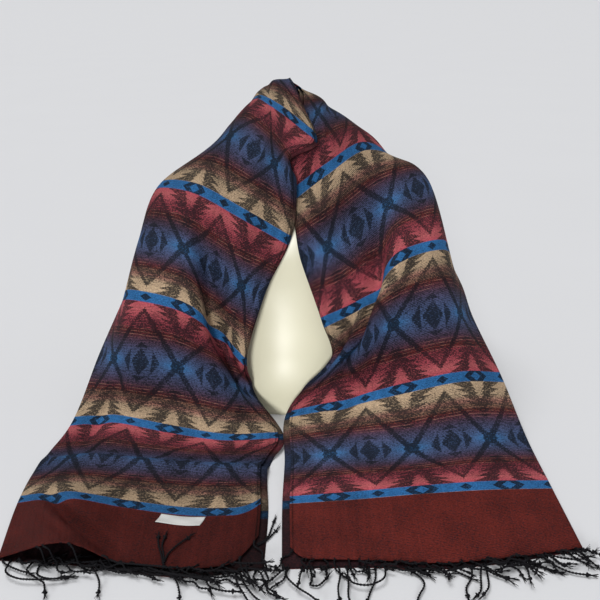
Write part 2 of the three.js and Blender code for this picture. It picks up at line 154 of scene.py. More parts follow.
STRAND_SAMPLES = 60
TWIST = 7.5                     # a strand turns once in this length
PLY_RADIUS = 0.68               # the two plies' mean radius, as a share of half a strand's thickness,
PLY_SWELL = 0.4                 # and how far they swell to both sides of it
KNOT_AT = 0.93                  # share of a strand's length up to its knot
TUFT_AT = 0.97
TUFT_HAIRS = 8
TUFT_LENGTH = (6, 10)
TUFT_SPREAD = 0.17
LENGTHS = (0.75, 1.05)          # of single strands, as shares of the usual one
PILE = (0.55, 2.8)              # how high strands lie on the table, as shares of their thickness,
LOOSE_PILE = (0.6, 2.2)         # and those that lie apart
LIES_BACK_FROM = 190            # past here across the left end,
LIES_BACK_SHARE = 0.6           # this share of the upper layer's strands lies back under it
LOWEST = 0.2                    # no strand goes below this height

# How the strands of each stretch of a hem lie: the way they leave it and the way they turn to, in
# radians (0 is straight out, positive is to the right), how much they differ, how much they curl and
# how much of their length shows.
LIES = {
    LEFT_END: (
        # from, to, leave, turn to, differ, curl, showing
        (0, 30, 0.2, 0.6, 0.35, 0.6, 0.7),
        (30, 110, 0.8, 1.35, 0.25, 0.5, 0.7),
        (110, 235, 1.15, 1.5, 0.12, 0.2, 0.9),
        (235, 300, 0.9, 1.5, 0.2, 0.4, 0.75),
        (300, 341, 0.3, 1.35, 0.25, 0.6, 0.7),
    ),
    RIGHT_END: (
        # from, to, leave, turn to, differ, curl, showing
        (0, 30, -0.4, -0.5, 0.4, 0.8, 0.5),
        (30, 105, 0.1, 0.5, 0.45, 0.9, 0.36),
        (105, 190, 0.5, 1.2, 0.3, 0.5, 0.45),
        (190, 245, 0.9, 1.5, 0.25, 0.5, 0.8),
        (245, 341, 0.7, 1.0, 0.3, 0.8, 0.55),
    ),
}

# Strands that lie apart from the rest: where they leave their hem, and the places on the table that
# they pass.
LOOSE = {
    LEFT_END: (
        # across, places
        (327, ((-319, -511), (-303, -521), (-284, -523), (-262, -522), (-246, -518))),
        (300, ((-297, -508), (-280, -521), (-272, -527), (-265, -545))),
        (275, ((-286, -497), (-284, -511), (-268, -517), (-246, -515))),
        (214, ((-219, -511), (-212, -525), (-209, -542))),
        (175, ((-177, -511), (-164, -514), (-150, -521))),
        (106, ((-128, -522), (-123, -536), (-121, -548))),
        (68, ((-90, -533), (-74, -539), (-60, -540))),
        (32, ((-61, -527), (-51, -547), (-44, -560))),
        (29, ((-52, -530), (-39, -549), (-24, -560))),
        (8, ((-43, -520), (-29, -524), (-27, -539), (-12, -549))),
        (1, ((-27, -520), (-31, -526))),
    ),
    RIGHT_END: (
        # across, places
        (2, ((-12, -506), (-24, -521))),
        (5, ((-10, -518), (-19, -527))),
        (8, ((-7, -518), (5, -534), (19, -546), (30, -558))),
        (32, ((21, -521), (19, -527), (28, -528), (40, -513))),
        (64, ((52, -518), (49, -537), (50, -556))),
        (73, ((61, -524), (60, -547), (66, -562))),
        (105, ((91, -518), (84, -537), (78, -554))),
        (116, ((100, -521), (83, -531), (66, -528), (59, -517))),
        (118, ((131, -509), (149, -506), (169, -509), (186, -505))),
        (141, ((144, -524), (134, -547), (133, -557))),
        (210, ((198, -515), (189, -531), (188, -546))),
        (221, ((209, -511), (204, -534), (196, -544))),
        (225, ((216, -511), (213, -531), (203, -545))),
        (254, ((245, -500), (231, -507))),
        (257, ((261, -503), (260, -524))),
        (272, ((280, -498), (296, -507))),
        (291, ((293, -495), (310, -508), (332, -513))),
        (336, ((338, -488), (345, -501))),
    ),
}

# Strands of the left end that are flipped up onto the cloth, as (along, across), and two that stick
# out from under its inner edge, as places on the table.
FLIPPED = (
    ((2, 110), (20, 116), (37, 122), (52, 124)),
    ((6, 110), (20, 113), (35, 117), (53, 115)),
    ((10, 110), (22, 107), (38, 98), (54, 85)),
)
STICKING_OUT = (
    ((-42, -462), (-31, -450), (-26, -431), (-23, -418)),
    ((-42, -464), (-32, -455), (-20, -436)),
)

# ---- The label, the dress form and the stage ----

LABEL_ALONG = (76, 92)
LABEL_ACROSS = (73, 129)
LABEL_SLANT = 0.35              # its short sides lean by this much
LABEL_POINTS = (12, 30)
LABEL_THICKNESS = 0.0004

FORM_RINGS = 110
FORM_SIDES = 96
FORM_ROUNDNESS = 2.2            # 2 is an ellipse, and more is squarer
FORM_LEVELS = (
    # height, half width, half depth, centre y
    (0, 150, 135, -38), (40, 148, 132, -36), (90, 146, 124, -30), (140, 148, 116, -24),
    (190, 156, 112, -16), (240, 166, 112, -8), (280, 175, 108, 0), (305, 175, 98.5, 6),
    (325, 163, 84.5, 10), (345, 128, 70, 13), (362, 92, 64, 15), (380, 68, 56, 18), (400, 60, 52, 20),
    (416, 54, 47, 22), (427, 40, 35, 24), (432, 20, 18, 25),
)

# In metres and degrees, with the lens and the sensor in millimetres.
FLOOR_REACH = 30.0
LIGHTS_AIM = (0, -0.15, 0.2)
FRONT_LIGHT_AT = (-0.2, -1.5, 0.55)
FRONT_LIGHT_SPREAD = 12
OVERHEAD_LIGHT_AT = (-0.5, 0.1, 1.9)
OVERHEAD_LIGHT_SPREAD = 38
ROOM_LIGHT = 0.31
CAMERA_AT = (0.008, -1.16, 0.61)
CAMERA_TILT = 67
CAMERA_LENS = 45
CAMERA_SENSOR = 36


# ---- The cloth's surface ----

def smooth_curve(stops, values, where, own=False):
    """Points on smooth curves through `values` at `stops`, going on straight past both ends.

    `values` is (stops, ..., 3), or (samples, stops, 3) if each sample has a curve of its `own`.
    """
    stops = np.asarray(stops, float)
    if own:
        values = np.moveaxis(values, 1, 0)

    def pick(table, k):
        return table[k, np.arange(len(where))] if own else table[k]

    last = len(stops) - 1
    low = np.maximum(np.arange(len(stops)) - 1, 0)
    high = np.minimum(np.arange(len(stops)) + 1, last)
    shape = (-1,) + (1,) * (values.ndim - 1)
    tangents = (values[high] - values[low]) / (stops[high] - stops[low]).reshape(shape)
    inside = np.clip(where, stops[0], stops[-1])
    i = np.clip(np.searchsorted(stops, inside, side="right") - 1, 0, last - 1)
    tail = (-1,) + (1,) * (values.ndim - 1 - own)
    span = (stops[i + 1] - stops[i]).reshape(tail)
    f = (inside - stops[i]).reshape(tail) / span
    g = 1 - f
    point = (pick(values, i) * g * g * (1 + 2 * f) + pick(tangents, i) * g * g * f * span
             + pick(values, i + 1) * f * f * (3 - 2 * f) - pick(tangents, i + 1) * f * f * g * span)
    past = (where - inside).reshape(tail)
    return point + past * np.where(past > 0, pick(tangents, i + 1), pick(tangents, i))


STATIONS = [row[0] for row in SECTIONS]
RAILS = np.array([row[1:] for row in SECTIONS], float)


def smooth_sheet(along, across):
    """The upper layer's outer face without its creases."""
    return smooth_curve(ACROSS, smooth_curve(STATIONS, RAILS, along), across, own=True)


def normal_of(surface, along, across):
    """Directions straight out of a surface."""
    chord = NORMAL_CHORD
    down = surface(along + chord, across) - surface(along - chord, across)
    side = surface(along, across + chord) - surface(along, across - chord)
    normal = np.cross(down, side)
    return normal / np.linalg.norm(normal, axis=1, keepdims=True)


def crease_height(along, across):
    """How far the creases push each place out, or in where negative; they fade towards both ends."""
    height = np.zeros(len(along))
    here = np.stack([along, across], axis=1)
    for start, turn, end, width, depth in CREASES:
        line = np.array([start, turn, end], float)
        nearest = np.full(len(along), 1e9)
        part = np.zeros(len(along))
        for i in (0, 1):
            run = line[i + 1] - line[i]
            f = np.clip((here - line[i]) @ run / (run @ run), 0, 1)
            distance = np.linalg.norm(here - line[i] - f[:, None] * run, axis=1)
            closer = distance < nearest
            nearest = np.where(closer, distance, nearest)
            part = np.where(closer, (i + f) / 2, part)
        fade = np.sin(math.pi * (0.12 + 0.76 * part))
        height += depth * fade * np.exp(-(nearest / width) ** 2)
    return height


def creased_sheet(along, across):
    """The upper layer's outer face with its creases."""
    normal = normal_of(smooth_sheet, along, across)
    return smooth_sheet(along, across) + normal * crease_height(along, across)[:, None]


def cloth_points(along, across, depth):
    """Points `depth` below the outer face, in millimetres, kept above the table by what is under them."""
    along, across, depth = (np.array(v, float) for v in np.broadcast_arrays(along, across, depth))
    point = creased_sheet(along, across) - normal_of(creased_sheet, along, across) * depth[:, None]
    point[:, 2] = np.maximum(point[:, 2], STACK - depth)
    return point


def hem_shift(along):
    """How far the lower layer is moved along the cloth, towards the nearer hem."""
    from_left = np.maximum(0, 1 - along / UNDER_REACH_FADES)
    from_right = np.maximum(0, 1 - (CLOTH_LENGTH - along) / UNDER_REACH_FADES)
    return UNDER_HEM_REACH * (from_right - from_left)


def edge_reach(along):
    """How far the lower selvedge lies past the upper one."""
    reach = np.full(len(along), UNDER_EDGE_REACH)
    for middle, half_length, less in SLIPPED_BACK:
        reach -= less * np.exp(-((along - middle) / half_length) ** 2)
    return np.maximum(reach, 0)


def rounded_corner(along, across):
    """The place along the cloth, moved in from the hem near the upper layer's inner corners."""
    moved = np.array(along, float)
    corners = ((LEFT_CORNER, along, 1), (RIGHT_CORNER, CLOTH_LENGTH - along, -1))
    for (width, height), from_hem, way in corners:
        rise = height * np.maximum(0, 1 - across / width) ** 2
        moved += way * rise * np.maximum(0, 1 - from_hem / (3 * height))
    return moved


def under_points(along, across, depth):
    """Points of the lower layer: it reaches past the upper one and lies flatter at the left hem."""
    share = 1 - across / FOLDED_WIDTH
    point = cloth_points(along + hem_shift(along) * share, across - edge_reach(along) * share, depth)
    raised = np.maximum(0, point[:, 2] - (STACK - depth))
    point[:, 2] -= raised * LIES_FLAT * np.exp(-(along / FLAT_FADES) ** 2)
    return point


# ---- Mesh helpers ----

def add_mesh(name, points_mm, faces, uvs=None, smooth=True):
    """A new object from points in millimetres, with one UV for each point in metres of cloth."""
    mesh = bpy.data.meshes.new(name)
    mesh.from_pydata((np.asarray(points_mm) * MM).tolist(), [], faces)
    mesh.polygons.foreach_set("use_smooth", [smooth] * len(mesh.polygons))
    if uvs is not None:
        layer = mesh.uv_layers.new(name="weave")
        corner = np.empty(len(mesh.loops), np.int32)
        mesh.loops.foreach_get("vertex_index", corner)
        layer.data.foreach_set("uv", np.asarray(uvs)[corner].astype(np.float32).ravel())
    mesh.update()
    piece = bpy.data.objects.new(name, mesh)
    bpy.context.collection.objects.link(piece)
    return piece


def grid_faces(rows, columns, around=False):
    """Quads of a grid of points, closed across its columns if `around`."""
    faces = []
    for row in range(0, (rows - 1) * columns, columns):
        for c in range(columns if around else columns - 1):
            after = (c + 1) % columns
            faces.append((row + c, row + columns + c, row + columns + after, row + after))
    return faces


def joined(parts):
    """The points and faces of many small meshes as one."""
    points, faces, base = [], [], 0
    for part_points, part_faces in parts:
        points.append(part_points)
        faces.extend(tuple(v + base for v in face) for face in part_faces)
        base += len(part_points)
    return np.concatenate(points), faces


# ---- Shader maths ----

class Value:
    """A shader socket that adds Math nodes as it is used in an expression."""

    def __init__(self, shader, socket):
        self.shader = shader
        self.socket = socket

    def math(self, operation, *others):
        return self.shader.node("ShaderNodeMath", {"operation": operation}, [self, *others])

    def __add__(self, other):
        return self.math("ADD", other)

    def __sub__(self, other):
        return self.math("SUBTRACT", other)

    def __rsub__(self, other):
        return self.shader.node("ShaderNodeMath", {"operation": "SUBTRACT"}, [other, self])

    def __mul__(self, other):
        return self.math("MULTIPLY", other)

    def __truediv__(self, other):
        return self.math("DIVIDE", other)

    def __or__(self, other):
        """The greater of the two."""
        return self.math("MAXIMUM", other)

    def __mod__(self, other):
        return self.math("FLOORED_MODULO", other)

    def __abs__(self):
        return self.math("ABSOLUTE")

    __radd__ = __add__
    __rmul__ = __mul__

    def output(self, place):
        """Another output of the node that this one comes from."""
        return Value(self.shader, self.socket.node.outputs[place])

    def steps(self, size):
        return self.math("SNAP", size)

    def clamped(self):
        return self.math("MAXIMUM", 0.0).math("MINIMUM", 1.0)

    def below(self, edge, softness):
        """1 well below the edge and 0 well above it, with a soft step between."""
        return ((edge - self) / softness + 0.5).clamped()


class Shader:
    """One material: its nodes, and the colours and bump that go to its Principled BSDF."""

    def __init__(self, name, **constants):
        self.material = bpy.data.materials.new(name)
        self.material.use_nodes = True
        self.tree = self.material.node_tree
        self.surface = self.tree.nodes["Principled BSDF"]
        for socket, value in constants.items():
            self.surface.inputs[socket.replace("_", " ")].default_value = value

    def node(self, kind, settings=None, values=(), output=0):
        """Adds a node: its settings first, then the values or links of its sockets.

        A ramp's `stops` are its (place, colour) pairs, the first at 0 and the last at 1.
        """
        made = self.tree.nodes.new(kind)
        for key, value in (settings or {}).items():
            if key == "stops":
                stops = made.color_ramp.elements
                for place, colour in value[1:-1]:
                    stops.new(place).color = (*colour, 1)
                stops[0].color = (*value[0][1], 1)
                stops[-1].color = (*value[-1][1], 1)
            else:
                setattr(made, key, value)
        pairs = values.items() if isinstance(values, dict) else enumerate(values)
        for place, value in pairs:
            if isinstance(value, Value):
                self.tree.links.new(value.socket, made.inputs[place])
            else:
                made.inputs[place].default_value = value
        return Value(self, made.outputs[output])

    def mix(self, factor, first, second, blend_type="MIX"):
        """Two colours mixed; each is a socket or a plain colour."""
        first, second = (c if isinstance(c, Value) else (*c, 1) for c in (first, second))
        return self.node("ShaderNodeMix", {"data_type": "RGBA", "blend_type": blend_type},
                         {0: factor, 6: first, 7: second}, output=2)

    def noise(self, vector, scale=1.0, detail=2.0, roughness=0.5):
        return self.node("ShaderNodeTexNoise", {}, {"Vector": vector, "Scale": scale, "Detail": detail,
                                                    "Roughness": roughness})

    def place_noise(self, scale, detail=2.0):
        """Noise by a piece's own place, in metres."""
        return self.noise(self.node("ShaderNodeTexCoord", {}, output=3), scale, detail)

    def vector(self, x, y, z=0.0):
        return self.node("ShaderNodeCombineXYZ", {}, [x, y, z])

    def feed(self, socket, value):
        self.tree.links.new(value.socket, self.surface.inputs[socket])

    def bump(self, height, distance, strength=1.0):
        self.feed("Normal", self.node("ShaderNodeBump", {}, {"Height": height, "Distance": distance,
                                                             "Strength": strength}))


def srgb(red, green, blue):
    """A colour given in 0 to 255 as it looks, turned into the linear values that a shader takes."""
    return tuple(c / 255 / 12.92 if c <= 10 else ((c / 255 + 0.055) / 1.055) ** 2.4
                 for c in (red, green, blue))


def blend(first, second, share):
    """A plain colour part of the way from the first to the second."""
    return tuple(a + (b - a) * share for a, b in zip(first, second))


def shaded(colour, share):
    """A plain colour times a share, which makes it darker, or brighter above 1."""
    return tuple(c * share for c in colour)


# ---- What a user would change ----

def colour_property(name, description, red, green, blue):
    return FloatVectorProperty(name=name, description=description, subtype="COLOR", min=0, max=1,
                               default=srgb(red, green, blue))


def distance_property(name, description, default, least, most):
    return FloatProperty(name=name, description=description, subtype="DISTANCE", default=default,
                         min=least, max=most)


class ShawlClothSettings(bpy.types.PropertyGroup):
    """Sizes and colours of the cloth"""
    grid: distance_property("Grid", "Spacing of the cloth's points", 0.005, 0.003, 0.02)
    wall: distance_property("Cloth thickness", "Thickness of one layer of cloth", 0.0009, 0.0004, 0.002)
    ground: colour_property("Ground", "Plain weave of both ends", 106, 38, 32)
    blue: colour_property("Blue band", "Bright blue weft of the narrow bands", 49, 110, 168)
    beige: colour_property("Beige", "Light weft beside the blue band, towards the left end", 200, 173, 142)
    rose: colour_property("Rose", "Light weft beside the blue band, towards the right end", 190, 84, 96)
    brick: colour_property("Brick", "Narrow stripes between the light wefts and the middle", 112, 42, 38)
    dusk: colour_property("Dusk", "Shaded weft on both sides of the middle", 92, 78, 104)
    middle: colour_property("Middle blue", "Brightest weft along the middle of a repeat", 62, 118, 172)
    warp: colour_property("Warp", "Dark warp that draws the motifs", 16, 20, 27)


class ShawlFringeSettings(bpy.types.PropertyGroup):
    """Size, number and colour of the strands"""
    strands: IntProperty(name="Strands", description="Twisted strands along one edge of the folded cloth",
                         default=27, min=8, max=60)
    length: distance_property("Length", "Length of a strand", 0.075, 0.02, 0.1)
    thickness: distance_property("Thickness", "Thickness of a twisted strand", 0.0034, 0.001, 0.005)
    yarn: colour_property("Yarn", "Colour of the twisted warp yarn", 9, 8, 13)


class ShawlFormSettings(bpy.types.PropertyGroup):
    """Colour of the dress form"""
    shell: colour_property("Shell", "Colour of the moulded dress form", 246, 242, 213)


class ShawlStageSettings(bpy.types.PropertyGroup):
    """Colour of the floor and strengths of the lights"""
    floor: colour_property("Floor", "Colour of the plain floor", 222, 223, 226)
    front: FloatProperty(name="Front light", description="Strength of the soft light in front",
                         default=1.7, min=0, max=10)
    overhead: FloatProperty(name="Overhead light", description="Strength of the wide light above",
                            default=1.75, min=0, max=10)


# ---- The woven repeat ----

def weft_stops(colours):
    """The weft's shaded stripes as a ramp's stops, from one blue band's middle to the next."""
    blue, beige, rose = colours.blue, colours.beige, colours.rose
    brick, dusk, middle = colours.brick, colours.dusk, colours.middle
    stripes = (
        # millimetres along the repeat, colour
        (0.0, blue), (7.3, blue), (7.7, beige), (26, beige),
        (34, blend(beige, rose, 0.5)), (40, blend(beige, brick, 0.6)), (47, brick),
        (54, blend(brick, dusk, 0.4)), (62, dusk),
        (76, blend(dusk, middle, 0.7)), (89, middle), (102, blend(dusk, middle, 0.7)),
        (114, dusk), (124, blend(brick, dusk, 0.3)), (131, brick), (137, blend(brick, rose, 0.75)),
        (148, rose), (162, blend(rose, beige, 0.1)), (170.3, rose), (170.7, blue), (178, blue),
    )
    return [(at / REPEAT, stripe) for at, stripe in stripes]


def rhombus(x, half_width, y, half_height, softness):
    """1 inside a rhombus round the place where both distances are 0."""
    return (x / half_width + y / half_height).below(1, softness)


class Weave:
    """The jacquard repeat, worked out from the cloth's own width and length.

    Every distance is in millimetres: widths run across the cloth and heights along it. Every motif is
    a mask, 1 inside and 0 outside.
    """

    def __init__(self, shader, colours):
        self.shader = shader
        self.colours = colours
        place = shader.node("ShaderNodeSeparateXYZ", {},
                            [shader.node("ShaderNodeUVMap", {"uv_map": "weave"})])
        self.across = place * 1000
        self.along = place.output(1) * 1000
        self.spin()
        self.measure()

    def spin(self):
        """Uneven yarn: streaks along the weft, speckle, soft clouds, waves along the warp, and floats."""
        shader, across, along = self.shader, self.across, self.along
        self.streak = shader.noise(shader.vector(across * 0.035, along * 1.1))
        self.speckle = shader.noise(shader.vector(across * 0.42, along * 0.55), detail=3.0, roughness=0.75)
        self.cloud = shader.noise(shader.vector(across * 0.02, along * 0.02))
        self.wave = shader.noise(shader.vector(across * 0.11, along * 0.006), detail=1.0)
        one_float = shader.vector(across.steps(FLOAT_SIZE[0]), along.steps(FLOAT_SIZE[1]))
        self.float_pick = shader.node("ShaderNodeTexWhiteNoise", {"noise_dimensions": "2D"},
                                      {"Vector": one_float})
        self.ragged = (self.streak - 0.5) * 2.5

    def measure(self):
        """Distances from what repeats: columns of eyes, columns of rings between them, and rows."""
        self.from_eye = (self.across + self.ragged).math("PINGPONG", MOTIF / 2)
        self.from_ring = MOTIF / 2 - self.from_eye
        self.row = (self.along - PLAIN_END) % REPEAT
        self.from_middle = abs(self.row - REPEAT / 2)
        self.stepped = self.from_middle.steps(3.0) + 1.5
        self.from_band = (REPEAT - BLUE_BAND) / 2 - self.from_middle
        self.crossing = self.from_ring.below(20, 26.0) * self.from_middle.below(9, 16.0)
        plain_to = PLAIN_END - BLUE_BAND / 2
        self.ends = self.along.below(plain_to, 0.6) | (CLOTH_LENGTH - self.along).below(plain_to, 0.6)

    def lattice(self):
        """Large diamonds round the eyes, heavier where their lines cross, and all that is outside them."""
        line = self.from_eye + self.stepped * (MOTIF / 2 / DIAMOND_HEIGHT) - MOTIF / 2
        arms = abs(line).below(5.7 - self.from_middle * 0.035, 1.4)
        return arms, 1 - line.below(0, 1.0)

    def tree(self, half_width, taper, tier, overhang):
        """A fir tree on the blue band, in tiers of branches that are widest on the band's side."""
        tiers = ((self.from_band.steps(1.5) + 0.75) % tier) * overhang
        return (self.from_ring + tiers).below(half_width - self.from_band * taper, 1.6)

    def fir_trees(self, outside):
        """Wide dark trees outside the lattice's diamonds, with a small light one cut out of each."""
        dark = self.tree(46, 0.72, tier=9.0, overhang=1.7)
        dark = dark * (self.from_band.below(TREE_HEIGHT, 2.0) * outside)
        light = self.tree(14, 0.36, tier=6.0, overhang=0.7)
        light = light * self.from_band.below(LIGHT_TREE_HEIGHT, 2.0)
        return dark * (1 - light)

    def eyes(self):
        """Eyes with a triangle on each side and a cap above and below, and the knots between them."""
        diamond = rhombus(self.from_eye, 15, self.stepped, 20, 0.08)
        side = 1 - self.from_eye.below(EYE_SIDE_FROM, 1.0)
        side = side * rhombus(self.from_eye - EYE_SIDE_FROM, 12.5, self.stepped, 17, 0.08)
        cap = 1 - self.from_middle.below(EYE_CAP_FROM, 1.2)
        cap = cap * rhombus(self.from_middle - EYE_CAP_FROM, 7.5, self.from_eye, 11, 0.1)
        knot = (self.from_ring + (self.stepped % 6.0) * 2.2).below(15 - self.from_middle * 0.9, 1.5)
        return diamond | side | cap | knot

    def band_motifs(self):
        """Small diamonds and rings along the blue band."""
        from_line = abs(self.from_band + BLUE_BAND / 2)
        small = rhombus(self.from_eye, 8.5, from_line, 5.5, 0.12)
        hole = rhombus(self.from_ring, 9.5, from_line, 6.5, 0.12)
        ring = (self.from_ring + from_line * 1.4).below(22, 1.2) * (1 - hole)
        return small | ring

    def picks(self, arms):
        """Thin bright picks by the tips of the dark trees."""
        every = (self.from_band % 4.4).below(1.2, 0.6)
        rows = (1 - self.from_band.below(33, 2.0)) * self.from_band.below(TREE_HEIGHT, 2.0)
        return every * rows * self.streak.below(0.52, 0.1) * (1 - arms) * (1 - self.ends)

    def tone(self, arms, outside, picks):
        """How much light weft is charted: most by the bands and at the crossings, least in the motifs."""
        tree_rows = self.from_band.below(40, 8.0)
        ground_tone = 0.42 + self.from_middle.below(15, 26.0) * 0.2 + self.crossing * 0.3
        tree_tone = (0.32 + self.from_band.below(16, 22.0) * 0.6) * (0.62 + outside * 0.38)
        tone = ground_tone * (1 - tree_rows) + tree_tone * tree_rows
        tone = tone * (1 - self.fir_trees(outside) * 0.86) * (1 - self.eyes() * 0.92) * (1 - arms * 0.96)
        in_band = self.from_band.below(0, 0.6)
        tone = tone * (1 - in_band) + (0.92 - self.band_motifs() * 0.9) * in_band
        tone = (tone + picks * 0.25) * (1 - self.ends) + self.ends * 0.74
        return tone + (self.cloud - 0.5) * 0.5 + (self.speckle - 0.5) * 1.3 + (self.streak - 0.5) * 0.7

    def shown(self, tone):
        """A float shows where the tone is above a threshold of its own, and more along the ribs."""
        ribs = (self.along + self.across * 0.12 + self.ragged * 0.1) * (math.tau / RIB_SPACING)
        tone = tone + ribs.math("SINE") * 0.24
        return ((tone - 0.13 - self.float_pick * 0.68) / 0.55 + 0.5).clamped()

    def weft(self, picks):
        """The weft's colours: its stripes, duskier between the crossings, the plain ends and the picks."""
        shader, colours = self.shader, self.colours
        weft = shader.node("ShaderNodeValToRGB", {"stops": weft_stops(colours)}, [self.row / REPEAT])
        weft = shader.mix(self.from_middle.below(24, 20.0) * (1 - self.crossing) * 0.45, weft, colours.dusk)
        weft = shader.mix(self.ends, weft, colours.ground)
        return shader.mix(picks * 0.45, weft, blend(colours.rose, colours.beige, 0.6))

    def painted_shade_and_yarn(self):
        """Painted shade at the left end and by the neck, a dark line by the selvedge, and uneven yarn."""
        along, across = self.along, self.across
        # painted shade: darkest at the left hem, lighter along the cloth, and darker again round the neck
        place = (along / PAINTED_SHADE_TO).math("MINIMUM", 1.0) * 0.3 + 0.7 - along.below(PAINTED_SHADE_HEM, 8.0) * 0.12
        place = place * (1 - abs(along - PAINTED_SHADE_NECK[0]).below(PAINTED_SHADE_NECK[1], 260.0) * 0.25)
        selvedge = across.below(4.5, 1.5) * (1 - across.below(2.5, 1.5))
        waves = (self.wave - 0.5) * (across.below(120, 160.0) * 0.6 + 0.1)
        return place * (0.85 + (self.cloud - 0.5) * 0.45 + (self.speckle - 0.5) * 1.2 + waves
                        + (self.float_pick - 0.5) * 0.45 - selvedge * 0.45)

    def relief(self):
        """Heights for the bump: twill lines, yarn, and soft waves."""
        twill = ((self.across + self.along) * (math.tau / TWILL_SPACING)).math("SINE")
        return twill * 0.25 + self.speckle * 1.2 + self.streak * 0.5 + self.cloud * 2.0 + self.wave * 4.0


def weave_shader(name, colours, painted_dark_wrong_side=False):
    """The cloth's material: the charted repeat, or its wrong side painted dark as shade."""
    shader = Shader(name, Specular_IOR_Level=0.12)
    weave = Weave(shader, colours)
    arms, outside = weave.lattice()
    picks = weave.picks(arms)
    shown = weave.shown(weave.tone(arms, outside, picks))
    # the wrong side shows mostly the dark warp: painted shade where the lower layer shows past the upper
    # one
    if painted_dark_wrong_side:
        shown = 0.22 - shown * 0.18
    weft = weave.weft(picks)
    woven = shader.mix(shown, shader.mix(0.92, weft, colours.warp), weft)
    # the weave is multiplied by painted shade along the cloth and by the yarn's own variation
    painted_shade_and_yarn = weave.painted_shade_and_yarn()
    shader.feed("Base Color", shader.mix(1.0, woven, shader.vector(painted_shade_and_yarn, painted_shade_and_yarn, painted_shade_and_yarn), "MULTIPLY"))
    shader.feed("Roughness", 0.68 + weave.speckle * 0.2)
    shader.bump(weave.relief(), 0.0006, 0.7)
    return shader.material


# ---- Pieces ----

def cloth_rows(settings):
    """The folded cloth's points, from the upper selvedge round the long fold to the lower one."""
    step = settings.grid / MM
    rows = np.linspace(0, CLOTH_LENGTH, round(CLOTH_LENGTH / step) + 1)
    upper = np.linspace(0, FOLDED_WIDTH, round(FOLDED_WIDTH / step) + 1)
    lower = np.linspace(FOLDED_WIDTH, 0, round(FOLDED_WIDTH / (step * LOWER_SPACING)) + 1)
    turns = np.radians(np.linspace(0, 180, FOLD_TURNS + 1)[1:-1])

    along, across = (a.ravel() for a in np.meshgrid(rows, upper, indexing="ij"))
    top = cloth_points(rounded_corner(along, across), across, 0.0).reshape(len(rows), len(upper), 3)

    # The hairpin turns half a circle about the middle of the stack, from straight up to straight down.
    fold = np.full(len(rows), FOLDED_WIDTH)
    middle = cloth_points(rows, fold, STACK / 2)
    up = cloth_points(rows, fold, 0.0) - middle
    up /= np.linalg.norm(up, axis=1, keepdims=True)
    out = middle - cloth_points(rows, fold - NORMAL_CHORD, STACK / 2)
    out /= np.linalg.norm(out, axis=1, keepdims=True)
    turn = np.stack([middle + (up * math.cos(a) + out * math.sin(a)) * STACK / 2 for a in turns], axis=1)

    along, across = (a.ravel() for a in np.meshgrid(rows, lower, indexing="ij"))
    under = under_points(along, across, STACK).reshape(len(rows), len(lower), 3)

    points = np.concatenate([top, turn, under], axis=1)
    widths = np.concatenate([upper, FOLDED_WIDTH + STACK / 2 * turns, 2 * FOLDED_WIDTH - lower])
    uvs = np.stack(np.broadcast_arrays(widths[None, :], rows[:, None]), axis=2) * MM
    return points, uvs


def gone_at(path):
    """The length of a path up to each of its points."""
    return np.concatenate([[0], np.cumsum(np.linalg.norm(np.diff(path, axis=0), axis=1))])


def rope(path, thickness, twist, swell, sides=8):
    """Points and faces of a two-ply twisted strand along a path, in millimetres.

    It turns once in each `twist` of its length, and `swell` makes it thicker or thinner on the way.
    """
    count = len(path)
    run = np.gradient(path, axis=0)
    run /= np.linalg.norm(run, axis=1, keepdims=True) + 1e-9
    side = np.cross(run, (0, 0, 1))
    side /= np.linalg.norm(side, axis=1, keepdims=True) + 1e-9
    rise = np.cross(side, run)
    angle = np.linspace(0, math.tau, sides, endpoint=False)[None, :]
    phase = (gone_at(path) / twist * math.tau)[:, None]
    radius = thickness / 2 * (PLY_RADIUS + PLY_SWELL * np.cos(2 * (angle - phase))) * swell[:, None]
    points = (path[:, None] + side[:, None] * (radius * np.cos(angle))[..., None]
              + rise[:, None] * (radius * np.sin(angle))[..., None])
    faces = grid_faces(count, sides, around=True)
    first_end = tuple(range(sides))
    faces += [first_end[::-1], tuple(v + (count - 1) * sides for v in first_end)]
    return points.reshape(-1, 3), faces


def strand_path(root, length, leave, turn_to, curl, rng, floor):
    """A strand's points: out over the hem, down to the table and along it with a curl of its own."""
    gone = np.linspace(0, length, STRAND_SAMPLES)
    f = gone / length
    settled = 1 - np.exp(-gone / rng.uniform(7, 16))
    wave = rng.normal(0, 0.45) * np.sin(rng.uniform(2, 5) * f * math.pi + rng.uniform(0, math.tau))
    turn = leave + (turn_to - leave) * settled + curl * f * f + wave
    step = length / (STRAND_SAMPLES - 1)
    drop = np.clip((gone - 4) / max(6.0, root[2] * 0.9), 0, 1)
    height = root[2] + (floor - root[2]) * drop * drop * (3 - 2 * drop)
    lean = np.gradient(height, gone)
    flat = step * np.sqrt(np.clip(1 - lean ** 2, 0.05, 1))
    x = root[0] + np.concatenate([[0], np.cumsum((np.sin(turn) * flat)[:-1])])
    y = root[1] - np.concatenate([[0], np.cumsum((np.cos(turn) * flat)[:-1])])
    return np.stack([x, y, height], axis=1)


def placed_strand(places):
    """A strand's points on a smooth path through a few places."""
    places = np.array(places, float)
    gone = gone_at(places)
    return smooth_curve(gone, places, np.linspace(0, gone[-1], STRAND_SAMPLES))


